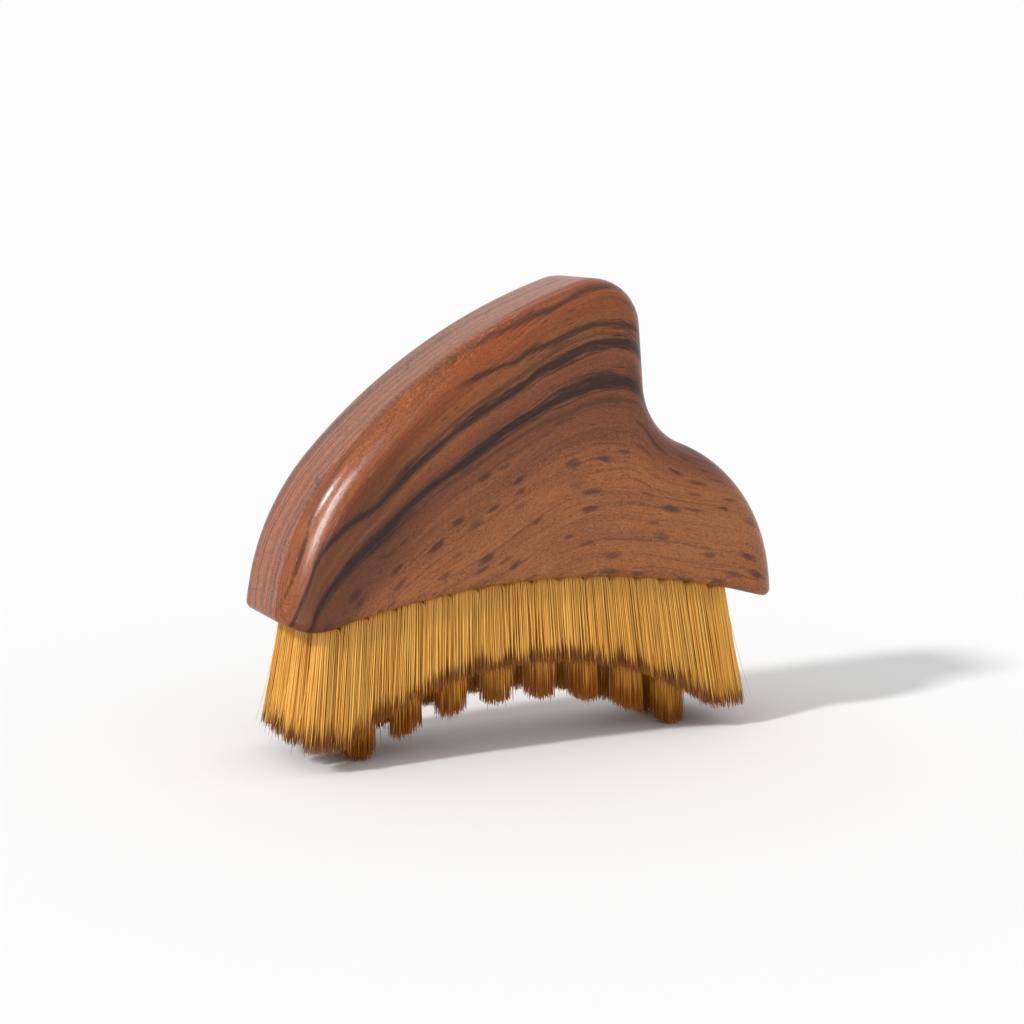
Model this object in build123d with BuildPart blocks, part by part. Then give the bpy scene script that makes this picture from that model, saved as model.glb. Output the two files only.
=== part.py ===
from build123d import *
from math import radians, sqrt, tan
import os

os.makedirs("parts", exist_ok=True)

# A palm-held beard brush that stands on its bristles: a contoured wooden handle with an arched
# underside, and staple-set tufts drilled into that underside. Millimetres, +Z up, X along the
# brush from heel to tail, front towards -Y. The origin is on the standing surface.

# ---------------------------------------------------------------- handle outline, in the XZ plane
heel_x = -48.4              # widest point of the heel
heel_z = 22.7
heel_radius = 44.5          # lower part of the back
heel_sweep = 42.8           # degrees of the back that the lower radius takes
nose_x = 19.7               # where the back would meet the nose's wall, before rounding
nose_z = 85.0
nose_radius = 8.9
neck_x = 22.2               # where the nose's wall would meet the tail, before rounding
neck_z = 54.3
neck_radius = 12.6
tail_x = 48.4               # widest point of the tail
tail_z = 25.2
tail_radius = 29.3
underside_radius = 151.0    # the arched underside
underside_x = 1.15          # its highest point
underside_z = 30.25
heel_lift_x = -42.5         # the underside turns up towards the heel from here
heel_lift_angle = 23.0
heel_lift_radius = 10.0     # eases the turn

# ---------------------------------------------------------------- handle across, in Y
rim_thickness = 25.0        # over the side faces at the underside
waist_thickness = 24.0      # over the side faces above the flared foot
flare_height = 6.0          # the side faces flare out over this height to the rim
edge_radius = 5.5           # all round the outline, from the heel over the nose to the tail
rim_radius = 1.3            # round the underside

# ---------------------------------------------------------------- tufts
field_x = -1.7              # middle of the bristle field
outer_pitch = 5.05
outer_row_count = 16        # tufts in each long outer row
outer_row_y = 8.7
end_column_count = 2        # tufts between the long rows at each end
end_bow = 1.0               # these stand out this far beyond the corner tufts
inner_pitch = 8.5
inner_row_count = 8
inner_row_y = 3.6
outer_end_splay = 7.4       # degrees that the outer tufts at the ends lean outwards
inner_end_splay = 2.5       # the same of the inner tufts
side_splay = 5.6            # degrees that the long outer rows lean outwards

outer_hole_diameter = 4.0
inner_hole_diameter = 4.4
hole_depth = 8.0
fit_clearance = 0.05        # between a tuft or an anchor and the wood
bottom_clearance = 0.2      # between a tuft's fold and the bottom of its hole
stub_reveal = 0.5           # the bound stub below the wood before the bristles spread

# ---------------------------------------------------------------- bristle strands
outer_rings = ((1, 0.0), (7, 1.45))     # (strands, ring radius) where they leave the stub
inner_rings = ((3, 0.66), (9, 1.66))
strand_width = 0.62         # side of a strand's square section at the stub
strand_tip_width = 0.80     # the same where it is cut, as each lock opens towards its tip
strand_embed = 1.0          # how far the strands run into the stub that holds them
outer_spread_x = 0.028      # how much wider a tuft grows for each mm of its length
outer_spread_y = 0.018
inner_spread = 0.020
trim_radius = 62.0          # the tips are trimmed to an arch, to follow the jaw
trim_x = -1.6
outer_trim_z = 15.6         # height of the outer tufts' tips at the arch's top
outer_trim_end_z = 4.2      # they end level at this height at the heel and the tail
inner_trim_z = 7.6          # height of the inner tufts' tips at the arch's top
inner_trim_end_z = -3.0     # those of the standing tufts run on, and are cut at the surface

# ---------------------------------------------------------------- wire anchors
anchor_thickness = 0.45
anchor_height = 1.8
anchor_bite = 0.3           # how far each end of an anchor grips the wood beside its hole
fold_thickness = 0.7        # bristles folded over the anchor's top

# ---------------------------------------------------------------- derived
outer_hole_radius = outer_hole_diameter / 2
inner_hole_radius = inner_hole_diameter / 2
field_half_length = outer_pitch * (outer_row_count - 1) / 2
anchor_depth = hole_depth - bottom_clearance - fold_thickness - anchor_height / 2


def arch_z(x, apex_x, apex_z, radius):
    """Height of a round arch at x."""
    return apex_z - radius + sqrt(radius**2 - (x - apex_x) ** 2)


def tip_z(x, trim):
    """Height that the tips at x are trimmed to, from the trim's height at its top and at its ends."""
    top_z, end_z = trim
    return max(arch_z(x, trim_x, top_z, trim_radius), end_z)


def mouth_plane(x, y, end_splay):
    """Plane of a tuft hole's mouth on the underside, facing out along the tuft."""
    lean_x = tan(radians(end_splay)) * (x - field_x) / field_half_length
    lean_y = tan(radians(side_splay)) * y / outer_row_y
    mouth = (x, y, arch_z(x, underside_x, underside_z, underside_radius))
    return Plane(origin=mouth, x_dir=(1, 0, 0), z_dir=(lean_x, lean_y, -1))


def row_x(middle_x, count, pitch):
    """Even positions along X about the middle of a row."""
    return [middle_x + (i - (count - 1) / 2) * pitch for i in range(count)]


# ---------------------------------------------------------------- places of the tufts
outer_x = row_x(field_x, outer_row_count, outer_pitch)
inner_x = row_x(field_x, inner_row_count, inner_pitch)
end_y = [outer_row_y * (2 * (j + 1) / (end_column_count + 1) - 1) for j in range(end_column_count)]

outer_mouths = {}
for i, x in enumerate(outer_x, 1):
    outer_mouths[f"front_tuft_{i:02d}"] = mouth_plane(x, -outer_row_y, outer_end_splay)
    outer_mouths[f"back_tuft_{i:02d}"] = mouth_plane(x, outer_row_y, outer_end_splay)
for j, y in enumerate(end_y, 1):
    outer_mouths[f"heel_tuft_{j}"] = mouth_plane(outer_x[0] - end_bow, y, outer_end_splay)
    outer_mouths[f"tail_tuft_{j}"] = mouth_plane(outer_x[-1] + end_bow, y, outer_end_splay)

inner_mouths = {}
for i, x in enumerate(inner_x, 1):
    inner_mouths[f"inner_front_tuft_{i}"] = mouth_plane(x, -inner_row_y, inner_end_splay)
    inner_mouths[f"inner_back_tuft_{i}"] = mouth_plane(x, inner_row_y, inner_end_splay)

outer_anchor_planes = [mouth.offset(-anchor_depth) for mouth in outer_mouths.values()]
inner_anchor_planes = [mouth.offset(-anchor_depth) for mouth in inner_mouths.values()]


def anchor_length(hole_radius):
    """An anchor spans its hole and bites the wood on both sides."""
    return 2 * (hole_radius + anchor_bite)


# ---------------------------------------------------------------- handle
underside_centre = (underside_x, 0, underside_z - underside_radius)
heel_lift_z = arch_z(heel_lift_x, underside_x, underside_z, underside_radius)

with BuildPart() as handle:
    with BuildSketch(Plane.XZ):
        with BuildLine():
            heel = JernArc((heel_x, heel_z), (0, 1), heel_radius, -heel_sweep)
            back = TangentArc(heel @ 1, (nose_x, nose_z), tangent=heel % 1)
            nose_wall = Line(back @ 1, (neck_x, neck_z))
            tail = RadiusArc(nose_wall @ 1, (tail_x, tail_z), tail_radius)
            Polyline(tail @ 1, (tail_x, 0), (heel_x, 0), heel @ 0)
        make_face()
        nose_corner = vertices().sort_by_distance((nose_x, nose_z))[0]
        fillet(nose_corner, nose_radius)
        neck_corner = vertices().sort_by_distance((neck_x, neck_z))[0]
        fillet(neck_corner, neck_radius)
        with Locations((underside_x, underside_z - underside_radius)):
            Circle(underside_radius, mode=Mode.SUBTRACT)
        with Locations(Location((heel_lift_x, heel_lift_z), -heel_lift_angle)):
            Rectangle(underside_z, underside_z, align=(Align.MAX, Align.MAX), mode=Mode.SUBTRACT)
        heel_turn = vertices().sort_by_distance((heel_lift_x, heel_lift_z))[0]
        fillet(heel_turn, heel_lift_radius)
    extrude(amount=rim_thickness / 2, both=True)

    # the side faces are dished: they flare out to the rim round the underside's own centre
    flare_top = underside_radius + flare_height
    above_nose = underside_radius + nose_z
    with BuildSketch(Plane(underside_centre, x_dir=(0, 1, 0), z_dir=(1, 0, 0))):
        with BuildLine():
            foot = Line((0, 0), (rim_thickness / 2, 0))
            rim = Line(foot @ 1, (rim_thickness / 2, underside_radius))
            flare = TangentArc((waist_thickness / 2, flare_top), rim @ 1, tangent=(0, -1))
            waist = Line(flare @ 0, (waist_thickness / 2, above_nose))
            Line(waist @ 1, (0, above_nose))
            mirror(about=Plane.YZ)
        make_face()
    revolve(axis=Axis(underside_centre, (0, 1, 0)), mode=Mode.INTERSECT)

    # the outline's edges are rounded first, then the rim all round the underside
    walls = handle.faces().filter_by(lambda face: abs(face.normal_at().Y) < 0.001)
    underside = walls.filter_by(lambda face: face.normal_at().Z < -0.5)
    outline_edges = (walls - underside).edges().filter_by(Axis.Y, reverse=True)
    fillet(outline_edges - underside.edges(), edge_radius)
    underside = handle.faces().filter_by(lambda face: face.normal_at().Z < -0.5)
    lines_across = underside.edges().filter_by(Axis.Y).sort_by(Axis.X)
    fillet(underside.edges() - lines_across[1:-1], rim_radius)

    # drilled tuft holes, with a slit at the bottom of each where its anchor grips the wood
    with Locations(*outer_mouths.values()):
        Hole(outer_hole_radius, hole_depth)
    with Locations(*inner_mouths.values()):
        Hole(inner_hole_radius, hole_depth)
    slit = (anchor_thickness + 2 * fit_clearance, anchor_height + 2 * fit_clearance)
    with Locations(*outer_anchor_planes):
        Box(anchor_length(outer_hole_radius) + 2 * fit_clearance, *slit, mode=Mode.SUBTRACT)
    with Locations(*inner_anchor_planes):
        Box(anchor_length(inner_hole_radius) + 2 * fit_clearance, *slit, mode=Mode.SUBTRACT)

handle.part.label = "handle"
export_step(handle.part, "parts/handle.step")


# ---------------------------------------------------------------- anchors
with BuildPart() as outer_tuft_anchors:
    with Locations(*outer_anchor_planes):
        Box(anchor_length(outer_hole_radius), anchor_thickness, anchor_height)

outer_tuft_anchors.part.label = "outer_tuft_anchors"
export_step(outer_tuft_anchors.part, "parts/outer_tuft_anchors.step")

with BuildPart() as inner_tuft_anchors:
    with Locations(*inner_anchor_planes):
        Box(anchor_length(inner_hole_radius), anchor_thickness, anchor_height)

inner_tuft_anchors.part.label = "inner_tuft_anchors"
export_step(inner_tuft_anchors.part, "parts/inner_tuft_anchors.step")


# ---------------------------------------------------------------- tufts
def strand(mouth, root, spread, trim):
    """One straight square strand, from inside the stub to the arch that the tips are cut to.

    A strand's distance from its tuft's middle grows in proportion to its length, alike for all
    strands, so none crosses another.
    """
    root_x, root_y = root
    spread_x, spread_y = spread
    tuft_drop = mouth.origin.Z - tip_z(mouth.origin.X, trim)

    def across(length):
        """Place in the tuft's cross-section at a length from the end of the stub."""
        return (root_x * (1 + spread_x * length), root_y * (1 + spread_y * length))

    reach = across(tuft_drop)
    guess = mouth.from_local_coords((reach[0], reach[1], tuft_drop))
    drop = mouth.origin.Z - tip_z(guess.X, trim)
    length = drop / -mouth.z_dir.Z

    with BuildPart() as one_strand:
        with BuildSketch(mouth.offset(stub_reveal - strand_embed)):
            with Locations(across(-strand_embed)):
                Rectangle(strand_width, strand_width)
        with BuildSketch(mouth.offset(length)):
            with Locations(across(length - stub_reveal)):
                Rectangle(strand_tip_width, strand_tip_width)
        loft(ruled=True)
    return one_strand.part


def tuft(name, mouth, hole_radius, rings, spread, trim):
    """A tuft folded over its anchor: a round stub bound in the hole, and the strands below it."""
    strands = []
    for count, ring_radius in rings:
        for location in PolarLocations(ring_radius, count).local_locations:
            root = (location.position.X, location.position.Y)
            strands.append(strand(mouth, root, spread, trim))

    with BuildPart() as bristles:
        with BuildSketch(mouth.offset(bottom_clearance - hole_depth)):
            Circle(hole_radius - fit_clearance)
        extrude(amount=hole_depth - bottom_clearance + stub_reveal)
        add(strands)
        with Locations(mouth.offset(-anchor_depth)):
            Box(
                2 * hole_radius,
                anchor_thickness + 2 * fit_clearance,
                anchor_height + 2 * fit_clearance,
                mode=Mode.SUBTRACT,
            )
        if bristles.part.bounding_box().min.Z < 0:
            split(bisect_by=Plane.XY, keep=Keep.TOP)

    bristles.part.label = name
    export_step(bristles.part, f"parts/{name}.step")


for name, mouth in outer_mouths.items():
    spread = (outer_spread_x, outer_spread_y)
    tuft(name, mouth, outer_hole_radius, outer_rings, spread, (outer_trim_z, outer_trim_end_z))

for name, mouth in inner_mouths.items():
    spread = (inner_spread, inner_spread)
    tuft(name, mouth, inner_hole_radius, inner_rings, spread, (inner_trim_z, inner_trim_end_z))
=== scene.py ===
"""Looks of the beard brush: a polished, strongly figured handle and amber bristles with dark tips.

The handle and the wire anchors are the frame's own nodes with better materials. Each tuft of the
frame is replaced by one mesh of fine tapered filaments that leave the same hole.
"""

from math import cos, pi, radians, sin, sqrt, tan

import bpy
import numpy as np
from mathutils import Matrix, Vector


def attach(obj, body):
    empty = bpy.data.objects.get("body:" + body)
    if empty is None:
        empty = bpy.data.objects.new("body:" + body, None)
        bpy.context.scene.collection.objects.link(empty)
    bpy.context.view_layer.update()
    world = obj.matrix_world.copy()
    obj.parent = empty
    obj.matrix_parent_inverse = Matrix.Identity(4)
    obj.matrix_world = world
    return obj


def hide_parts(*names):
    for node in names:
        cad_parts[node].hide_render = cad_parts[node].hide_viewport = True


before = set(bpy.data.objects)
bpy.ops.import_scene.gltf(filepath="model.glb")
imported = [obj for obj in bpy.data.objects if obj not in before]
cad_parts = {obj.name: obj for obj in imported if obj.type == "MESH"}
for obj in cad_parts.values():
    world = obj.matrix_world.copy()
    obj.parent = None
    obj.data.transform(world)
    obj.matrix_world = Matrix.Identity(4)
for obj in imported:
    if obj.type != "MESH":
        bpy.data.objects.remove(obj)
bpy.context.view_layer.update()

MM = 0.001                      # the frame is in metres, and the sizes below are in millimetres

# ---------------------------------------------------------------- tuft layout, as in the frame
UNDERSIDE_RADIUS, UNDERSIDE_X, UNDERSIDE_Z = 151.0, 1.15, 30.25
FIELD_X = -1.7
OUTER_PITCH, OUTER_COUNT, OUTER_Y = 5.05, 16, 8.7
INNER_PITCH, INNER_COUNT, INNER_Y = 8.5, 8, 3.6
END_COUNT, END_BOW = 2, 1.0
FIELD_HALF_LENGTH = OUTER_PITCH * (OUTER_COUNT - 1) / 2
OUTER_END_SPLAY, INNER_END_SPLAY, SIDE_SPLAY = 7.4, 2.5, 5.6
OUTER_HOLE_RADIUS, INNER_HOLE_RADIUS = 2.0, 2.2
TUFT_DEPTH = 7.8
ANCHOR_HALF_THICKNESS, ANCHOR_BOTTOM = 0.28, 5.3

# the tips are cut to an arch: its height in the middle, and the least height at the ends
TRIM_RADIUS, TRIM_X = 62.0, -1.6
OUTER_TRIM = (15.6, 4.2)
INNER_TRIM = (7.6, 0.05)

# ---------------------------------------------------------------- filaments
SEED = 7
FILAMENT_SIDES = 4
FILAMENT_RADIUS = 0.105
WIDTH_RANGE = (0.75, 1.10)              # a filament's own width, as a share of that radius
TIP_WIDTH, TAPER_LENGTH = 0.35, 2.5     # it narrows to this share of its width over its last mm
TURN = 1.7                              # radians that each filament is turned against the last one
HOLE_CLEARANCE = 0.02
FOLD_LENGTH = 2.5                       # mm over which a tuft parts to pass round its anchor
FIRST_RINGS = (-TUFT_DEPTH, -ANCHOR_BOTTOM, -1.0, 0.0, 0.12, 0.4, 1.0, 2.5, 5.0)
LAST_RINGS = 3                          # further rings, evenly down to the tip

# how far a tuft opens sideways once it has left the wood, as a share of its hole's radius
SIDE_FLARE, ROW_FLARE, END_FLARE, INNER_FLARE = 0.08, 0.42, 0.62, 0.12
SQUARENESS = 0.8                        # 1 would open a round tuft of a row out to a full square
SQUARED_BY = 1.2                        # mm below the wood

# how the locks of a tuft and its single filaments stray at their tips, in mm
LOCK_SHIFT = 0.06
LOCK_REACH = 0.92                       # the locks' middles lie within this share of the tuft
WANDER, WANDER_LIMIT = 0.16, 0.32
CROSSING_SHARE, CROSSING_WANDER = 0.06, 3.5     # a few filaments wander this many times as far
BEND, BEND_ACROSS = 0.10, 0.5           # across the brush they bend by this share of it
FLYAWAYS, FLYAWAY_BEND = 2, (0.6, 3.2)  # in each tuft at the brush's ends
FLYAWAY_WIDTH = 0.40                    # as a share of a filament's width

# how uneven the cut is: most filaments end near the arch, some run on and some fall short
CUT_UNEVENNESS = 0.30
LONG_SHARE, LONG_BY = 0.10, 0.8
SHORT_SHARE, SHORT_BY = 0.15, 2.2
LEAST_TIP_Z, TIP_Z_SPREAD = 0.03, 0.30  # the tips that stand on the surface are just above it
CUT_STEPS = 4                           # tries at the length that meets the arch


# ---------------------------------------------------------------- small helpers
def arch_z(x, apex_x, apex_z, radius):
    """Height of a round arch at x."""
    return apex_z - radius + np.sqrt(radius**2 - (x - apex_x) ** 2)


def tip_z(x, trim):
    """Height that the tips at x are trimmed to."""
    top_z, end_z = trim
    return np.maximum(arch_z(x, TRIM_X, top_z, TRIM_RADIUS), end_z)


def smoothstep(low, high, x):
    """0 below low, 1 above high, and a smooth step between."""
    t = np.clip((x - low) / (high - low), 0.0, 1.0)
    return t * t * (3.0 - 2.0 * t)


class Nodes:
    """Short calls for building a material's or a world's node tree."""

    def __init__(self, tree):
        self.tree = tree
        tree.nodes.clear()

    def add(self, kind, **settings):
        node = self.tree.nodes.new(kind)
        for name, value in settings.items():
            setattr(node, name, value)
        return node

    def put(self, socket, value):
        """Links an output to a socket, or sets the socket's own value."""
        if isinstance(value, bpy.types.NodeSocket):
            self.tree.links.new(value, socket)
        elif value is not None:
            socket.default_value = value

    def math(self, operation, a, b=None, c=None):
        node = self.add("ShaderNodeMath", operation=operation)
        for socket, value in zip(node.inputs, (a, b, c)):
            self.put(socket, value)
        return node.outputs[0]

    def plus(self, *terms):
        total = terms[0]
        for term in terms[1:]:
            total = self.math("ADD", total, term)
        return total

    def times(self, *factors):
        product = factors[0]
        for factor in factors[1:]:
            product = self.math("MULTIPLY", product, factor)
        return product

    def scale_add(self, value, factor, offset=0.0):
        return self.math("MULTIPLY_ADD", value, factor, offset)

    def step(self, value, low, high, to_low=0.0, to_high=1.0):
        """A smooth step of value from low to high."""
        node = self.add("ShaderNodeMapRange", interpolation_type="SMOOTHSTEP")
        for name, x in (("Value", value), ("From Min", low), ("From Max", high),
                        ("To Min", to_low), ("To Max", to_high)):
            self.put(node.inputs[name], x)
        return node.outputs[0]

    def vector(self, x, y, z=0.0):
        node = self.add("ShaderNodeCombineXYZ")
        for socket, value in zip(node.inputs, (x, y, z)):
            self.put(socket, value)
        return node.outputs[0]

    def noise(self, vector, scale=1.0, detail=2.0, roughness=0.5):
        node = self.add("ShaderNodeTexNoise")
        self.put(node.inputs["Vector"], vector)
        for name, x in (("Scale", scale), ("Detail", detail), ("Roughness", roughness)):
            self.put(node.inputs[name], x)
        return node.outputs["Fac"]

    def ramp(self, value, stops):
        """A colour ramp, from (place, colour) stops."""
        node = self.add("ShaderNodeValToRGB")
        ramp = node.color_ramp
        while len(ramp.elements) < len(stops):
            ramp.elements.new(1.0)
        for element, (place, colour) in zip(ramp.elements, stops):
            element.position = place
            element.color = (*colour, 1.0)
        self.put(node.inputs["Fac"], value)
        return node.outputs["Color"]

    def curve(self, value, points):
        """A smooth curve through (x, y) points, both from 0 to 1."""
        node = self.add("ShaderNodeFloatCurve")
        line = node.mapping.curves[0]
        for x, y in points[1:-1]:
            line.points.new(x, y)
        for point, (x, y) in zip(line.points, points):
            point.location = (x, y)
        node.mapping.update()
        self.put(node.inputs["Value"], value)
        return node.outputs[0]

    def mix(self, factor, a, b, blend="MIX"):
        node = self.add("ShaderNodeMix", data_type="RGBA", blend_type=blend)
        self.put(node.inputs["Factor"], factor)
        for socket, value in ((node.inputs[6], a), (node.inputs[7], b)):
            self.put(socket, (*value, 1.0) if isinstance(value, tuple) else value)
        return node.outputs[2]


def new_material(name):
    material = bpy.data.materials.new(name)
    material.use_nodes = True
    return material, Nodes(material.node_tree)


def linear(hex_colour):
    """A display colour such as '8a4526' as linear red, green and blue."""
    values = [int(hex_colour[i:i + 2], 16) / 255 for i in (0, 2, 4)]
    return tuple(v / 12.92 if v <= 0.04045 else ((v + 0.055) / 1.055) ** 2.4 for v in values)


# ---------------------------------------------------------------- wood
# The growth layers arch over the brush. LAYER_LINE is the run of one layer, the main dark stripe,
# over the handle's front. Where it drops away from its peak, the layers above it crowd together,
# and those below it hardly do.
LAYER_PEAK = 65.0
LAYER_SPAN_X, LAYER_DEPTH = (-52.0, 52.0), 55.0         # the line's ends, and the most that it drops
LAYER_LINE = (
    (-52.0, 10.0), (-43.4, 25.0), (-42.3, 27.8), (-36.5, 35.2), (-30.0, 41.4), (-20.9, 48.7), (-7.4, 56.7),
    (6.2, 63.8), (12.5, 65.0), (18.0, 64.0), (22.0, 59.5), (29.0, 53.0), (38.0, 46.5), (52.0, 32.0),
)
CROWDING_BELOW, CROWDING_ABOVE = 0.004, 0.01342
FRONT_Y = -12.0
LEAN = 0.25                     # the layers drop by this much for each mm into the handle

# ground colours of the layers, from the underside up to the back
GROUND = (
    (28.0, "9c5a2e"), (40.0, "9f6035"), (50.0, "9e5c31"), (54.0, "8e512b"), (57.5, "7d4526"),
    (61.0, "7d4427"), (66.0, "7c4427"), (69.0, "8a4b29"), (75.0, "8e5228"), (79.0, "8c4719"),
    (83.0, "8e3f0f"), (89.0, "984c1a"), (98.0, "994c1b"),
)

# tones laid over the ground
# painted shade, laid over the front beside the stripes towards the heel
PAINTED_HEEL_SHADE = "4a2112"
DARK_STREAK, LIGHT_STREAK, NARROW_STREAK = "5c301c", "ad6a3a", "54301f"
BACK_BAND, BACK_LINE = "5e2a16", "3c1c12"
LIGHT_MOTTLE, LIGHT_SPECK, DARK_MOTTLE = "b87646", "c08050", "43241a"
FLECK, DASH = "40211c", "2e1a14"
THREAD, PORE = "4f2c1c", "38211a"

# dark stripes on the front: layer over the nose, its rise per mm towards the heel and at the heel's
# end, half width, strength, and the place where the stripe runs out towards the heel
STRIPES = (
    (64.9, 0.00, 1.3, 1.45, 0.96, -60.0), (71.4, 0.055, 8.5, 1.05, 0.94, -60.0),
    (73.4, 0.050, 8.5, 0.40, 0.45, -30.0), (74.8, 0.36, 0.0, 0.60, 0.80, -13.0),
    (81.3, 0.36, 0.0, 0.65, 0.85, -60.0), (61.6, 0.04, 0.0, 0.45, 0.40, -60.0),
    (85.5, 0.30, 0.0, 0.50, 0.60, -60.0),
)
STRIPE_COLOUR = "220f09"


def wood_layers(n, x, z):
    """The layer at a place of the front face, named by its own height at the peak, in mm."""
    low, high = LAYER_SPAN_X
    across = n.math("DIVIDE", n.math("SUBTRACT", x, low), high - low)
    points = [
        ((line_x - low) / (high - low), 1.0 - (LAYER_PEAK - line_z) / LAYER_DEPTH)
        for line_x, line_z in LAYER_LINE
    ]
    drop = n.scale_add(n.curve(across, points), LAYER_DEPTH, -LAYER_DEPTH)
    past_peak = n.math("MAXIMUM", n.scale_add(x, 1.0, -8.0), 0.0)
    gentle_drop = n.times(past_peak, past_peak, -0.005)
    under_tail = n.times(n.step(x, 4.0, 18.0), n.step(z, 54.0, 38.0))
    drop = n.plus(drop, n.times(under_tail, n.math("SUBTRACT", gentle_drop, drop)))
    above_line = n.math("SUBTRACT", n.scale_add(z, 1.0, -LAYER_PEAK), drop)
    crowding = n.step(above_line, -8.0, 0.0, CROWDING_BELOW, CROWDING_ABOVE)
    at_peak = n.math("DIVIDE", above_line, n.plus(n.times(drop, crowding), 1.0))
    return n.scale_add(at_peak, 1.0, LAYER_PEAK)


def wood_flecks(n, layer, along, cells, reach, share, seed):
    """Short dark flecks along the grain, from 0 to 1.

    cells is the number of places for a fleck per mm across and along the layers, reach is the
    least and the greatest half length of a fleck in cells, and share is how many places have one.
    """
    where = n.vector(n.scale_add(layer, cells[0], seed), n.scale_add(along, cells[1], seed))
    shake = n.noise(n.vector(n.scale_add(layer, 2.2), n.scale_add(along, 0.7), seed), 1.0, 2.0)
    shake = n.vector(n.scale_add(shake, 0.16, -0.08), n.scale_add(shake, -0.24, 0.12))
    moved = n.add("ShaderNodeVectorMath", operation="ADD")
    n.put(moved.inputs[0], where)
    n.put(moved.inputs[1], shake)
    cell = n.add("ShaderNodeTexVoronoi", voronoi_dimensions="2D")
    n.put(cell.inputs["Vector"], moved.outputs[0])
    cell.inputs["Scale"].default_value = 1.0
    chance = n.add("ShaderNodeSeparateColor")
    n.put(chance.inputs[0], cell.outputs["Color"])
    size = n.scale_add(chance.outputs[1], reach[1] - reach[0], reach[0])
    inside = n.step(n.math("DIVIDE", cell.outputs["Distance"], size), 1.25, 0.35)
    present = n.math("LESS_THAN", chance.outputs[0], share)
    return n.times(inside, present, n.scale_add(chance.outputs[2], 0.5, 0.5))


class Wood:
    """Where a point lies in the wood: x, y and z in mm, its layer, and its line of the grain."""

    def __init__(self, n):
        self.n = n
        scaled = n.add("ShaderNodeVectorMath", operation="SCALE")
        n.put(scaled.inputs[0], n.add("ShaderNodeTexCoord").outputs["Object"])
        scaled.inputs["Scale"].default_value = 1.0 / MM
        place = scaled.outputs[0]
        split = n.add("ShaderNodeSeparateXYZ")
        n.put(split.inputs[0], place)
        x, y, z = split.outputs
        self.x, self.z = x, z

        # the layers waver, and lean back a little into the handle
        depth = n.scale_add(y, 1.0, -FRONT_Y)
        front_layer = wood_layers(n, x, z)
        broad = n.noise(place, 0.055, 1.0)
        fine = n.vector(n.scale_add(front_layer, 0.35), n.scale_add(x, 0.09), n.scale_add(z, 0.09))
        waver = n.plus(n.scale_add(broad, 3.0, -1.5), n.scale_add(n.noise(fine), 2.4, -1.2))
        self.layer = n.plus(front_layer, n.times(depth, LEAN), waver)
        self.near_stripes = n.times(n.step(self.layer, 50.0, 60.0), n.step(self.layer, 86.0, 80.0))

        # over the back the grain runs along it, as straight lines
        self.back = n.times(n.step(y, -11.5, -6.5), n.step(y, 11.5, 6.5), n.step(front_layer, 77.0, 84.0))
        self.front = n.math("SUBTRACT", 1.0, self.back)
        straight = n.scale_add(x, 0.13, 84.0)
        turned = n.plus(front_layer, n.times(self.back, n.math("SUBTRACT", straight, front_layer)))
        self.grain = n.plus(turned, depth, n.times(waver, 0.8))
        self.along = n.plus(x, n.times(z, 0.35))

        # the finest marks, which the colour, the roughness and the relief share
        self.mottle = self.streaks(3.2, 1.3, 3.0, 0.7)
        self.specks = self.streaks(5.0, 3.5, 1.0, 0.5)
        self.pores = n.step(self.streaks(7.0, 0.50, 1.0), 0.62, 0.74)

    def streaks(self, across_scale, along_scale, detail=2.0, roughness=0.55):
        """Noise drawn out along the grain."""
        n = self.n
        where = n.vector(
            n.times(self.grain, across_scale), n.times(self.x, along_scale), n.times(self.z, along_scale)
        )
        return n.noise(where, 1.0, detail, roughness)


def wood_ground(n, wood):
    """The colours of the layers. Beside the dark stripes they are darker towards the heel, a painted
    shade.
    """
    low, high = GROUND[0][0], GROUND[-1][0]
    position = n.math("DIVIDE", n.math("SUBTRACT", wood.layer, low), high - low)
    colour = n.ramp(position, [((at - low) / (high - low), linear(c)) for at, c in GROUND])
    # painted shade: the front beside the stripes darkens towards the heel
    painted_shade = n.times(n.step(wood.x, -16.0, -34.0), wood.near_stripes, wood.front)
    return n.mix(n.times(painted_shade, 0.50), colour, linear(PAINTED_HEEL_SHADE))


def with_streaks(n, wood, colour):
    """Soft light and dark streaks between the layers, and straight dark lines over the back."""
    wide = wood.streaks(0.30, 0.020)
    colour = n.mix(n.step(wide, 0.50, 0.72, 0.0, 0.45), colour, linear(DARK_STREAK))
    colour = n.mix(n.step(wide, 0.48, 0.26, 0.0, 0.40), colour, linear(LIGHT_STREAK))
    narrow = wood.streaks(1.3, 0.035, 3.0)
    colour = n.mix(n.step(narrow, 0.50, 0.70, 0.0, 0.48), colour, linear(NARROW_STREAK))
    bands = n.step(wood.streaks(0.55, 0.010, 2.0, 0.6), 0.46, 0.58, 0.0, 0.66)
    colour = n.mix(n.times(wood.back, bands), colour, linear(BACK_BAND))
    lines = n.step(wood.streaks(1.3, 0.012, 1.0), 0.55, 0.63, 0.0, 0.75)
    return n.mix(n.times(wood.back, lines), colour, linear(BACK_LINE))


def with_light_mottle(n, wood, colour):
    """Fine pale mottle, weaker beside the dark stripes."""
    strength = n.scale_add(wood.near_stripes, -0.30, 0.42)
    colour = n.mix(n.times(n.step(wood.mottle, 0.50, 0.28), strength), colour, linear(LIGHT_MOTTLE))
    speckled = n.times(n.step(wood.specks, 0.50, 0.30), strength, 0.6)
    return n.mix(speckled, colour, linear(LIGHT_SPECK))


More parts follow.
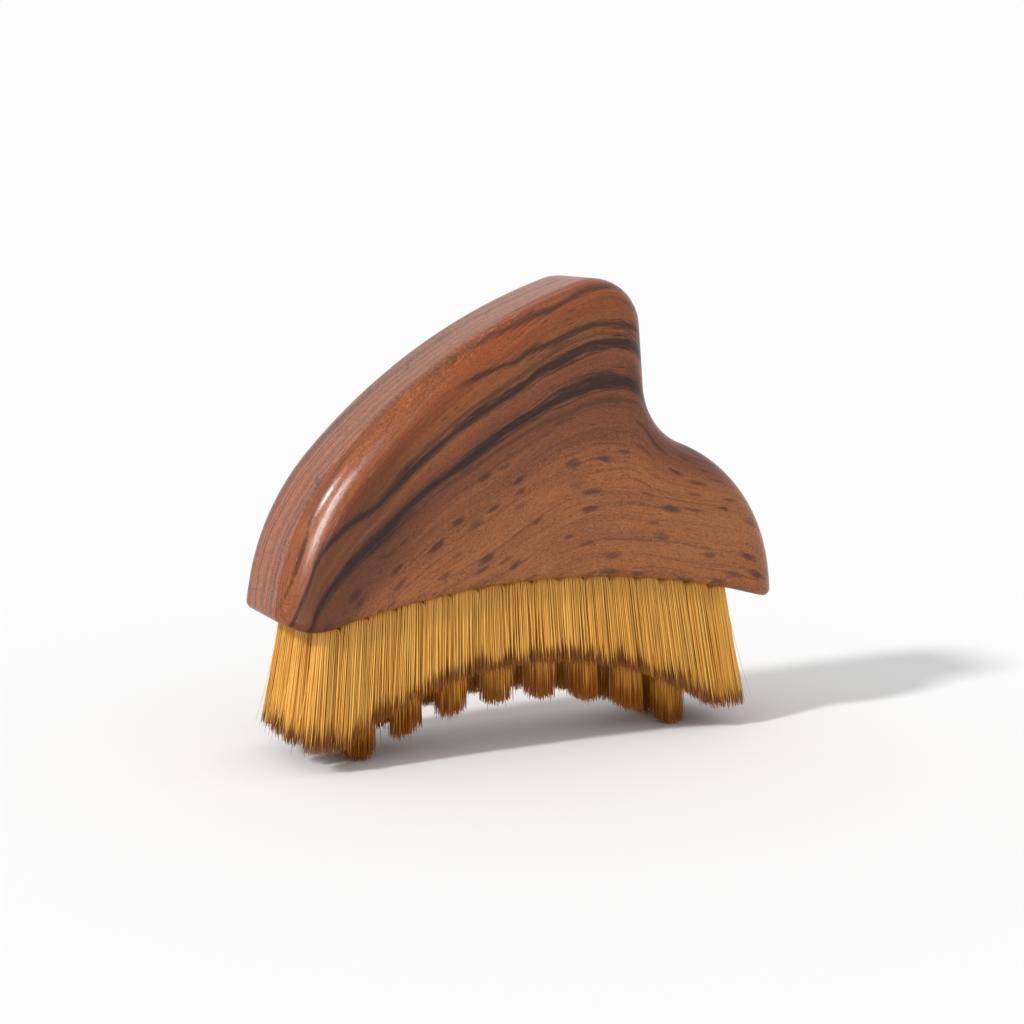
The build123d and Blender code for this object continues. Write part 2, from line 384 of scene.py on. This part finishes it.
def with_flecks(n, wood, colour):
    """Flecks below the stripes, and thinner dashes just below them and at the nose."""
    layer = wood.layer
    lower = n.step(layer, 62.5, 59.5)
    flecks = wood_flecks(n, layer, wood.along, (0.32, 0.13), (0.15, 0.30), 0.70, 3.7)
    colour = n.mix(n.times(flecks, lower, 0.85), colour, linear(FLECK))
    dashes = wood_flecks(n, layer, wood.along, (0.85, 0.17), (0.10, 0.20), 0.40, 11.3)
    dashed = n.plus(n.step(layer, 72.0, 76.0), n.times(n.step(layer, 54.0, 58.0), lower))
    return n.mix(n.times(dashes, dashed, 0.70), colour, linear(DASH))


def with_stripes(n, wood, colour):
    """The strong dark stripes: their width changes along them and their edges are fibrous."""
    fibres = n.plus(n.times(wood.streaks(2.6, 0.09), 0.6), n.times(wood.streaks(6.0, 0.45, 1.0), 0.4))
    thickness = n.times(
        n.step(wood.streaks(0.12, 0.07, 1.0), 0.30, 0.70, 0.80, 1.20),
        n.step(wood.x, -14.0, -34.0, 1.0, 1.35),
    )
    to_heel = n.math("MAXIMUM", n.scale_add(wood.x, -1.0, 2.0), 0.0)
    at_end = n.step(wood.x, -30.0, -44.0)
    for at_nose, rise, end_rise, half_width, strength, runs_out in STRIPES:
        centre = n.plus(n.scale_add(to_heel, rise, at_nose), n.times(at_end, end_rise))
        distance = n.math("ABSOLUTE", n.math("SUBTRACT", wood.layer, centre))
        distance = n.math("DIVIDE", distance, n.times(thickness, half_width))
        inside = n.step(n.plus(distance, n.scale_add(fibres, 4.2, -2.1)), 1.75, 0.25)
        present = n.times(n.step(wood.x, runs_out - 5.0, runs_out, 0.0, strength), wood.front)
        colour = n.mix(n.times(inside, present), colour, linear(STRIPE_COLOUR))
    return colour


def with_fine_grain(n, wood, colour):
    """Dark threads, mottle and pores over everything else."""
    threads = wood.streaks(3.4, 0.06)
    colour = n.mix(n.step(threads, 0.50, 0.72, 0.0, 0.32), colour, linear(THREAD))
    colour = n.mix(n.step(wood.mottle, 0.50, 0.72, 0.0, 0.48), colour, linear(DARK_MOTTLE))
    colour = n.mix(n.step(wood.specks, 0.50, 0.70, 0.0, 0.30), colour, linear(DARK_MOTTLE))
    return n.mix(n.times(wood.pores, 0.40), colour, linear(PORE))


def wood_material():
    material, n = new_material("figured_wood")
    wood = Wood(n)
    colour = wood_ground(n, wood)
    for layer_on in (with_streaks, with_light_mottle, with_flecks, with_stripes, with_fine_grain):
        colour = layer_on(n, wood, colour)

    shader = n.add("ShaderNodeBsdfPrincipled")
    n.put(shader.inputs["Base Color"], colour)
    n.put(shader.inputs["Roughness"], n.step(wood.mottle, 0.3, 0.7, 0.42, 0.52))
    shader.inputs["Specular IOR Level"].default_value = 0.06
    shader.inputs["Coat Weight"].default_value = 0.50
    shader.inputs["Coat Roughness"].default_value = 0.22
    bump = n.add("ShaderNodeBump")
    bump.inputs["Strength"].default_value = 0.35
    bump.inputs["Distance"].default_value = 0.05 * MM
    n.put(bump.inputs["Height"], n.math("SUBTRACT", n.times(wood.mottle, 0.8), wood.pores))
    n.put(shader.inputs["Normal"], bump.outputs[0])
    n.put(shader.inputs["Coat Normal"], bump.outputs[0])
    n.put(n.add("ShaderNodeOutputMaterial").inputs["Surface"], shader.outputs[0])
    return material


# ---------------------------------------------------------------- bristle and wire materials
def bristle_material(name, middle, light, dark, tip, tip_length):
    """Amber filament with a dark tip, from the attributes that make_tuft gives each tuft's mesh.

    tip_length, in mm, sets how far up the dark tips reach.
    """
    material, n = new_material(name)

    def attribute(key):
        return n.add("ShaderNodeAttribute", attribute_name=key).outputs["Fac"]

    tone, lock, to_tip, from_root = (attribute(k) for k in ("tone", "lock", "to_tip", "from_root"))
    colour = n.mix(n.step(tone, 0.35, 1.0), linear(middle), linear(light))
    colour = n.mix(n.step(tone, 0.30, 0.0, 0.0, 0.40), colour, linear(dark))
    colour = n.mix(n.step(lock, 0.45, 0.0, 0.0, 0.12), colour, linear(dark))

    # paler and darker stretches along each filament
    uneven = n.noise(n.vector(n.times(tone, 40.0), n.times(from_root, 0.12), lock), 1.0, 1.0)
    colour = n.mix(n.step(uneven, 0.45, 0.75, 0.0, 0.15), colour, linear(dark))

    # the dark tip starts at a height of its own on each filament, and not all tips are fully dark
    chance = n.noise(n.vector(n.times(tone, 97.0), n.times(lock, 31.0)), 1.0, 1.0)
    start = n.times(n.plus(n.scale_add(chance, 1.8, -0.58), n.times(lock, 0.55)), tip_length)
    fade = n.step(n.math("DIVIDE", to_tip, start), 1.0, 0.40)
    fade = n.times(fade, n.step(chance, 0.3, 0.7, 0.6, 1.0))
    colour = n.mix(fade, colour, linear(tip))
    # painted shade near the roots, where the filaments leave the wood
    colour = n.mix(n.step(from_root, 1.6, 0.0, 0.0, 0.35), colour, linear(dark))

    shader = n.add("ShaderNodeBsdfPrincipled")
    n.put(shader.inputs["Base Color"], colour)
    shader.inputs["Roughness"].default_value = 0.42
    shader.inputs["Specular IOR Level"].default_value = 0.25
    n.put(n.add("ShaderNodeOutputMaterial").inputs["Surface"], shader.outputs[0])
    return material


def wire_material():
    material, n = new_material("drawn_wire")
    place = n.add("ShaderNodeTexCoord").outputs["Object"]
    stretch = n.add("ShaderNodeMapping")
    stretch.inputs["Scale"].default_value = (200.0, 9000.0, 9000.0)
    n.put(stretch.inputs["Vector"], place)
    draw_marks = n.noise(stretch.outputs[0], 1.0, 2.0)
    shader = n.add("ShaderNodeBsdfPrincipled")
    steel = n.ramp(draw_marks, [(0.3, (0.42, 0.41, 0.39)), (0.7, (0.66, 0.65, 0.62))])
    n.put(shader.inputs["Base Color"], steel)
    n.put(shader.inputs["Roughness"], n.step(draw_marks, 0.3, 0.7, 0.28, 0.45))
    shader.inputs["Metallic"].default_value = 1.0
    n.put(n.add("ShaderNodeOutputMaterial").inputs["Surface"], shader.outputs[0])
    return material


# ---------------------------------------------------------------- tufts
def mouth_frame(x, y, end_splay):
    """The mouth of a tuft's hole, and the tuft's own axes: along X, to the front, and outwards."""
    lean_x = tan(radians(end_splay)) * (x - FIELD_X) / FIELD_HALF_LENGTH
    lean_y = tan(radians(SIDE_SPLAY)) * y / OUTER_Y
    mouth = np.array([x, y, arch_z(x, UNDERSIDE_X, UNDERSIDE_Z, UNDERSIDE_RADIUS)])
    out = np.array([lean_x, lean_y, -1.0])
    out /= np.linalg.norm(out)
    side = np.array([1.0, 0.0, 0.0])
    side -= out * (side @ out)
    side /= np.linalg.norm(side)
    return mouth, side, np.cross(out, side), out


def sunflower(count, random, shake=0.30):
    """Even places in a unit disc, each a little shaken."""
    i = np.arange(count) + 0.5
    radius, angle = np.sqrt(i / count), i * pi * (3.0 - sqrt(5.0))
    places = np.stack([radius * np.cos(angle), radius * np.sin(angle)], 1)
    return places + random.normal(0.0, shake / sqrt(count), places.shape)


def tube_points(lines, radii):
    """The corners round each filament, as (filament, ring, side, xyz)."""
    ahead = np.gradient(lines, axis=1)
    ahead /= np.linalg.norm(ahead, axis=2, keepdims=True)
    start = np.cross(ahead, np.array([0.0, 1.0, 0.0]))
    start /= np.linalg.norm(start, axis=2, keepdims=True)
    other = np.cross(ahead, start)
    turn = TURN * np.arange(len(lines))[:, None]
    angle = 2 * pi * np.arange(FILAMENT_SIDES) / FILAMENT_SIDES + turn
    ring = (np.cos(angle)[:, None, :, None] * start[:, :, None, :]
            + np.sin(angle)[:, None, :, None] * other[:, :, None, :])
    return lines[:, :, None, :] + ring * radii[:, :, None, None]


def tube_faces(count, rings):
    """The quads along the filaments and the caps at their ends, as vertex numbers."""
    sides = FILAMENT_SIDES
    first = (np.arange(count) * rings * sides)[:, None, None]
    near = first + (np.arange(rings - 1) * sides)[None, :, None]
    far = near + sides
    a = np.arange(sides)[None, None, :]
    b = (a + 1) % sides
    quads = np.stack([near + a, near + b, far + b, far + a], 3).reshape(-1, 4)
    root_caps = first[:, 0, :] + np.arange(sides)[None, ::-1]
    tip_caps = first[:, 0, :] + (rings - 1) * sides + np.arange(sides)[None, :]
    return quads, np.concatenate([root_caps, tip_caps])


def strip_map(quads, caps, count, rings):
    """Texture places of all face corners: a strip for each filament, with its length along it."""
    sides = FILAMENT_SIDES
    corners = np.concatenate([quads.ravel(), caps.ravel()])
    strip, along = corners // (rings * sides), (corners // sides) % rings
    quad_side = np.repeat(np.tile(np.arange(sides), count * (rings - 1)), 4)
    side = np.concatenate([quad_side, np.zeros(caps.size)])
    edge = np.concatenate([np.tile([0.0, 1.0, 1.0, 0.0], len(quads)), np.full(caps.size, 0.5)])
    u = (strip + 0.1 + 0.8 * (side + edge) / sides) / count
    v = 0.02 + 0.96 * along / (rings - 1)
    return np.stack([u, v], 1)


def filament_mesh(name, lines, radii, facts):
    """One mesh of tapered filaments.

    lines is (filament, ring, xyz) in mm and radii is (filament, ring). facts holds an attribute
    per filament and ring.
    """
    count, rings, _ = lines.shape
    quads, caps = tube_faces(count, rings)
    corners = np.concatenate([quads.ravel(), caps.ravel()])
    sizes = np.concatenate([np.full(len(quads), 4), np.full(len(caps), FILAMENT_SIDES)])
    starts = np.concatenate([[0], np.cumsum(sizes)[:-1]])
    smooth = np.concatenate([np.ones(len(quads), bool), np.zeros(len(caps), bool)])

    mesh = bpy.data.meshes.new(name)
    mesh.vertices.add(count * rings * FILAMENT_SIDES)
    mesh.vertices.foreach_set("co", (tube_points(lines, radii) * MM).ravel())
    mesh.loops.add(len(corners))
    mesh.loops.foreach_set("vertex_index", corners)
    mesh.polygons.add(len(sizes))
    mesh.polygons.foreach_set("loop_start", starts)
    mesh.polygons.foreach_set("loop_total", sizes)
    mesh.polygons.foreach_set("use_smooth", smooth)
    for key, values in facts.items():
        attribute = mesh.attributes.new(key, "FLOAT", "POINT")
        each_corner = np.repeat(np.broadcast_to(values, (count, rings))[:, :, None], FILAMENT_SIDES, 2)
        attribute.data.foreach_set("value", each_corner.astype(np.float32).ravel())
    texture_map = mesh.uv_layers.new(name="OFBake")
    texture_places = strip_map(quads, caps, count, rings)
    texture_map.data.foreach_set("uv", texture_places.astype(np.float32).ravel())
    mesh.update(calc_edges=True)
    mesh.validate()
    return mesh


def two_sided(places, low, high):
    """One value for the places below 0 and one for those above."""
    return np.where(places < 0.0, low, high)[:, None]


class Tuft:
    """The filaments of one tuft, from the bottom of its hole to the arch that the tips are cut to.

    flare_x is how much the tuft widens below the wood towards the heel and towards the tail, and
    flare_y towards the back and towards the front. flyaways stand off on the brush's end.
    """

    def __init__(self, x, y, kind, flare_x, flare_y, random, flyaways=0):
        self.kind, self.flare_x, self.flare_y = kind, flare_x, flare_y
        self.mouth, self.side, self.front, self.out = mouth_frame(x, y, kind["end_splay"])
        count = kind["count"]
        disc = sunflower(count, random)
        self.root = disc * (kind["hole_radius"] - FILAMENT_RADIUS - HOLE_CLEARANCE)
        self.flare_length = random.uniform(*kind["flare_length"])
        corner = np.linalg.norm(disc, axis=1, keepdims=True) / np.abs(disc).max(1, keepdims=True) - 1.0
        self.squareness = two_sided(self.root[:, 0], *flare_x) / ROW_FLARE * SQUARENESS * corner
        self.gather_into_locks(disc, random)
        self.let_stray(np.sign(x - FIELD_X), flyaways, random)
        self.draw_cut(disc, random)
        self.width = FILAMENT_RADIUS * random.uniform(*WIDTH_RANGE, count)[:, None]
        self.width[self.outermost] *= FLYAWAY_WIDTH
        self.tone = random.random(count)[:, None]
        self.tone[self.outermost] = 1.0
        self.cut_to_arch(x)

    def gather_into_locks(self, disc, random):
        """Each filament leans to the middle of its lock, and the locks shift a little."""
        locks = self.kind["locks"]
        centres = sunflower(locks, random) * LOCK_REACH
        lock = np.argmin(((disc[:, None] - centres[None]) ** 2).sum(2), 1)
        self.lock_tone = random.random(locks)[lock][:, None]
        self.lock_shift = random.normal(0.0, LOCK_SHIFT, (locks, 2))[lock]
        self.to_centre = (centres[lock] - disc) * self.kind["hole_radius"]

    def let_stray(self, end_side, flyaways, random):
        """Single filaments wander and bend, and the flyaways bend away from the brush's middle."""
        count = self.kind["count"]
        self.wander = np.clip(random.normal(0.0, WANDER, (count, 2)), -WANDER_LIMIT, WANDER_LIMIT)
        crossing = random.random(count) < CROSSING_SHARE
        self.wander[:, 0] *= np.where(crossing, CROSSING_WANDER, 1.0)
        self.bend = random.normal(0.0, BEND, (count, 2))
        self.bend[:, 1] *= BEND_ACROSS
        self.outermost = np.argsort(-self.root[:, 0] * end_side)[:flyaways]
        self.bend[self.outermost, 0] += end_side * random.uniform(*FLYAWAY_BEND, flyaways)

    def draw_cut(self, disc, random):
        """How far each filament runs past the arch of the tips, and how far it falls short of it."""
        count = self.kind["count"]
        self.past = random.normal(0.0, CUT_UNEVENNESS, count)
        self.past += np.where(random.random(count) < LONG_SHARE, random.random(count) * LONG_BY, 0.0)
        self.short = np.where(random.random(count) < SHORT_SHARE, random.random(count) * SHORT_BY, 0.0)
        self.short += self.kind["dome"] * (disc**2).sum(1)

    def across(self, depth):
        """Places across the tuft at depths below the mouth, which are (filament, ring)."""
        root, kind = self.root, self.kind
        below = np.maximum(depth, 0.0)
        share = below / self.length[:, None]
        flare = 1.0 - np.exp(-below / self.flare_length)
        grow_x = 1.0 + two_sided(root[:, 0], *self.flare_x) * flare + kind["spread"] * below
        grow_y = 1.0 + two_sided(root[:, 1], *self.flare_y) * flare + kind["spread"] * below
        squared = 1.0 + self.squareness * smoothstep(0.0, SQUARED_BY, below)
        across = root[:, None, :] * np.stack([grow_x * squared, grow_y * squared], 2)
        across = across + self.to_centre[:, None, :] * (kind["gather"] * share)[..., None]
        across = across + self.lock_shift[:, None, :] * share[..., None]
        across = across + self.wander[:, None, :] * share[..., None]
        across = across + self.bend[:, None, :] * (share**2)[..., None]

        # the wire anchor passes between the halves of the fold
        beside = smoothstep(-ANCHOR_BOTTOM + FOLD_LENGTH, -ANCHOR_BOTTOM, depth)
        clear = ANCHOR_HALF_THICKNESS + FILAMENT_RADIUS
        inner_y = across[..., 1]
        moved = np.sign(inner_y) * (clear + np.abs(inner_y) * (1.0 - clear / kind["hole_radius"]))
        across[..., 1] = inner_y + (moved - inner_y) * beside
        return across

    def places(self, depth):
        """Places of the filaments at depths below the mouth, as (filament, ring, xyz)."""
        across = self.across(depth)
        return (self.mouth + across[..., :1] * self.side + across[..., 1:] * self.front
                + depth[..., None] * self.out)

    def cut_to_arch(self, x):
        """Finds the length at which each filament meets the arch of the tips."""
        drop = -self.out[2]
        self.length = np.full(self.kind["count"], (self.mouth[2] - tip_z(x, self.kind["trim"])) / drop)
        for _ in range(CUT_STEPS):
            tip = self.places(self.length[:, None])[:, 0]
            target = tip_z(tip[:, 0], self.kind["trim"]) - self.past + self.short
            target = np.maximum(target, LEAST_TIP_Z + TIP_Z_SPREAD * np.abs(self.past))
            self.length = self.length + (tip[:, 2] - target) / drop

    def ring_depths(self):
        """Depths of each filament's rings, as (filament, ring)."""
        last = FIRST_RINGS[-1]
        first = np.tile(FIRST_RINGS, (self.kind["count"], 1))
        shares = np.linspace(0.0, 1.0, LAST_RINGS + 1)[1:]
        return np.concatenate([first, last + (self.length[:, None] - last) * shares], 1)


def make_tuft(name, tuft):
    """The piece that stands for one tuft of the frame."""
    depth = tuft.ring_depths()
    to_tip = tuft.length[:, None] - depth
    radii = tuft.width * (TIP_WIDTH + (1.0 - TIP_WIDTH) * smoothstep(0.0, TAPER_LENGTH, to_tip))
    facts = {"tone": tuft.tone, "lock": tuft.lock_tone, "to_tip": to_tip, "from_root": depth}
    mesh = filament_mesh(name + "_bristles", tuft.places(depth), radii, facts)
    mesh.materials.append(tuft.kind["material"])
    piece = bpy.data.objects.new(name + "_bristles", mesh)
    bpy.context.scene.collection.objects.link(piece)
    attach(piece, "root")
    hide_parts(name)


def row_x(middle_x, count, pitch):
    """Even places along X about the middle of a row."""
    return [middle_x + (i - (count - 1) / 2) * pitch for i in range(count)]


# The kinds of tuft. spread is how much a tuft widens for each mm of its length, gather how far its
# locks close up at their tips, dome how much shorter its outermost filaments are, in mm, and
# flare_length the least and the greatest length, in mm, over which it opens below the wood.
OUTER = {
    "count": 300, "hole_radius": OUTER_HOLE_RADIUS, "end_splay": OUTER_END_SPLAY, "trim": OUTER_TRIM,
    "locks": 9, "spread": 0.011, "gather": 0.04, "dome": 0.0, "flare_length": (0.06, 0.24),
    "slot": "outer_bristle",
    "material": bristle_material("amber_bristle", "eeb450", "f4c05b", "da9138", "7c300b", 5.2),
}
INNER = {
    "count": 400, "hole_radius": INNER_HOLE_RADIUS, "end_splay": INNER_END_SPLAY, "trim": INNER_TRIM,
    "locks": 13, "spread": 0.009, "gather": 0.08, "dome": 0.9, "flare_length": (0.35, 0.35),
    "slot": "inner_bristle",
    "material": bristle_material("inner_bristle", "e9a03a", "f6bb50", "a8641f", "a4560d", 8.5),
}
random = np.random.default_rng(SEED)
outer_x = row_x(FIELD_X, OUTER_COUNT, OUTER_PITCH)
inner_x = row_x(FIELD_X, INNER_COUNT, INNER_PITCH)


def outer_tuft(column_x, y, random, bow=0.0):
    """An outer tuft. bow moves it along X, out of its column.

    It opens towards its neighbours and hardly or not at all towards the outside of the field.
    """
    at_heel, at_tail = column_x == outer_x[0], column_x == outer_x[-1]
    flare_x = (0.0 if at_heel else ROW_FLARE, 0.0 if at_tail else ROW_FLARE)
    inwards = END_FLARE if at_heel or at_tail else ROW_FLARE
    to_back = SIDE_FLARE if y == OUTER_Y else inwards
    to_front = SIDE_FLARE if y == -OUTER_Y else inwards
    flyaways = FLYAWAYS if at_heel or at_tail else 0
    return Tuft(column_x + bow, y, OUTER, flare_x, (to_back, to_front), random, flyaways)


def inner_tuft(x, y, random):
    flare = (INNER_FLARE, INNER_FLARE)
    return Tuft(x, y, INNER, flare, flare, random)


for i, x in enumerate(outer_x, 1):
    make_tuft(f"front_tuft_{i:02d}", outer_tuft(x, -OUTER_Y, random))
    make_tuft(f"back_tuft_{i:02d}", outer_tuft(x, OUTER_Y, random))
for j in range(END_COUNT):
    y = OUTER_Y * (2 * (j + 1) / (END_COUNT + 1) - 1)
    make_tuft(f"heel_tuft_{j + 1}", outer_tuft(outer_x[0], y, random, -END_BOW))
    make_tuft(f"tail_tuft_{j + 1}", outer_tuft(outer_x[-1], y, random, END_BOW))
for i, x in enumerate(inner_x, 1):
    make_tuft(f"inner_front_tuft_{i}", inner_tuft(x, -INNER_Y, random))
    make_tuft(f"inner_back_tuft_{i}", inner_tuft(x, INNER_Y, random))


# ---------------------------------------------------------------- the frame's own nodes
def dress(node, material):
    """Gives a node of the frame a better material."""
    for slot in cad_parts[node].material_slots:
        slot.link = "OBJECT"
        slot.material = material


dress("handle", wood_material())
wire = wire_material()
dress("outer_tuft_anchors", wire)
dress("inner_tuft_anchors", wire)


# ---------------------------------------------------------------- floor, light and camera
FLOOR_TONE = 0.86
FLOOR_HALF_SIZE = 4.0                   # m
AMBIENT = 0.745
BACKDROP = (0.978, 0.979, 0.981)
FLOOR_NEAR, FLOOR_FAR = 0.16, 0.60      # m from the brush, over which the floor turns into backdrop
KEY_STRENGTH = 1.98
KEY_AZIMUTH, KEY_ELEVATION, KEY_SPREAD = 10.0, 39.0, 6.0
SOFTBOX_AZIMUTH, SOFTBOX_ELEVATION, SOFTBOX_DISTANCE = 48.0, 26.0, 0.7
SOFTBOX_SIZE, SOFTBOX_POWER = (0.15, 0.30), 6.5


def seen_directly(n):
    """1 for the rays that show the background: from the camera, off gloss and through glass."""
    path = n.add("ShaderNodeLightPath")
    seen = n.math("MAXIMUM", path.outputs["Is Camera Ray"], path.outputs["Is Glossy Ray"])
    return n.math("MAXIMUM", seen, path.outputs["Is Transmission Ray"])


def floor_material():
    """A pale matt floor that turns into the backdrop's own tone away from the brush."""
    material, n = new_material("pale_floor")
    matt = n.add("ShaderNodeBsdfDiffuse")
    matt.inputs["Color"].default_value = (FLOOR_TONE, FLOOR_TONE, FLOOR_TONE, 1.0)
    backdrop = n.add("ShaderNodeEmission")
    backdrop.inputs["Color"].default_value = (*BACKDROP, 1.0)
    reach = n.add("ShaderNodeVectorMath", operation="LENGTH")
    n.put(reach.inputs[0], n.add("ShaderNodeTexCoord").outputs["Object"])
    far = n.step(reach.outputs["Value"], FLOOR_NEAR, FLOOR_FAR)
    blend = n.add("ShaderNodeMixShader")
    n.put(blend.inputs["Fac"], n.times(far, seen_directly(n)))
    n.put(blend.inputs[1], matt.outputs[0])
    n.put(blend.inputs[2], backdrop.outputs[0])
    n.put(n.add("ShaderNodeOutputMaterial").inputs["Surface"], blend.outputs[0])
    return material


def make_floor():
    far = FLOOR_HALF_SIZE
    corners = [(-far, -far, 0.0), (far, -far, 0.0), (far, far, 0.0), (-far, far, 0.0)]
    mesh = bpy.data.meshes.new("floor")
    mesh.from_pydata(corners, [], [(0, 1, 2, 3)])
    mesh.materials.append(floor_material())
    floor = bpy.data.objects.new("floor", mesh)
    bpy.context.scene.collection.objects.link(floor)


def make_world():
    world = bpy.data.worlds.new("studio")
    bpy.context.scene.world = world
    world.use_nodes = True
    n = Nodes(world.node_tree)
    colour = n.mix(seen_directly(n), (AMBIENT, AMBIENT, AMBIENT), BACKDROP)
    background = n.add("ShaderNodeBackground")
    n.put(background.inputs["Color"], colour)
    n.put(n.add("ShaderNodeOutputWorld").inputs["Surface"], background.outputs[0])


def place_lamp(lamp, azimuth, elevation, distance):
    """Puts a lamp beside the heel: its azimuth is from the heel's side round to the front."""
    thing = bpy.data.objects.new(lamp.name, lamp)
    bpy.context.scene.collection.objects.link(thing)
    a, e = radians(azimuth), radians(elevation)
    towards = Vector((-cos(a) * cos(e), -sin(a) * cos(e), sin(e)))
    thing.location = towards * distance
    thing.rotation_euler = towards.to_track_quat("Z", "Y").to_euler()
    return thing


def make_key_light():
    lamp = bpy.data.lights.new("key", "SUN")
    lamp.energy = KEY_STRENGTH
    lamp.angle = radians(KEY_SPREAD)
    place_lamp(lamp, KEY_AZIMUTH, KEY_ELEVATION, 1.0)


def make_softbox():
    """A soft panel that only shows as the gloss on the wood's rounded edges."""
    lamp = bpy.data.lights.new("softbox", "AREA")
    lamp.shape = "RECTANGLE"
    lamp.size, lamp.size_y = SOFTBOX_SIZE
    lamp.energy = SOFTBOX_POWER
    panel = place_lamp(lamp, SOFTBOX_AZIMUTH, SOFTBOX_ELEVATION, SOFTBOX_DISTANCE)
    panel.visible_diffuse = False
    panel.visible_camera = False


CAMERA_AZIMUTH, CAMERA_ELEVATION, CAMERA_DISTANCE = -25.25, 8.57, 387.0
CAMERA_TARGET = (-0.65, 0.0, 40.77)
PIXELS_ACROSS, FOCAL_PIXELS, SENSOR = 1024, 5.58 * CAMERA_DISTANCE, 36.0


def make_camera():
    data = bpy.data.cameras.new("camera")
    data.sensor_width = SENSOR
    data.lens = FOCAL_PIXELS * SENSOR / PIXELS_ACROSS
    data.clip_start, data.clip_end = 0.01, 20.0
    camera = bpy.data.objects.new("camera", data)
    bpy.context.scene.collection.objects.link(camera)
    a, e = radians(CAMERA_AZIMUTH), radians(CAMERA_ELEVATION)
    back = Vector((sin(a) * cos(e), -cos(a) * cos(e), sin(e)))
    camera.location = (Vector(CAMERA_TARGET) + back * CAMERA_DISTANCE) * MM
    camera.rotation_euler = back.to_track_quat("Z", "Y").to_euler()
    bpy.context.scene.camera = camera


make_floor()
make_world()
make_key_light()
make_softbox()
make_camera()
bpy.context.scene.view_settings.view_transform = "Standard"

bpy.context.view_layer.update()
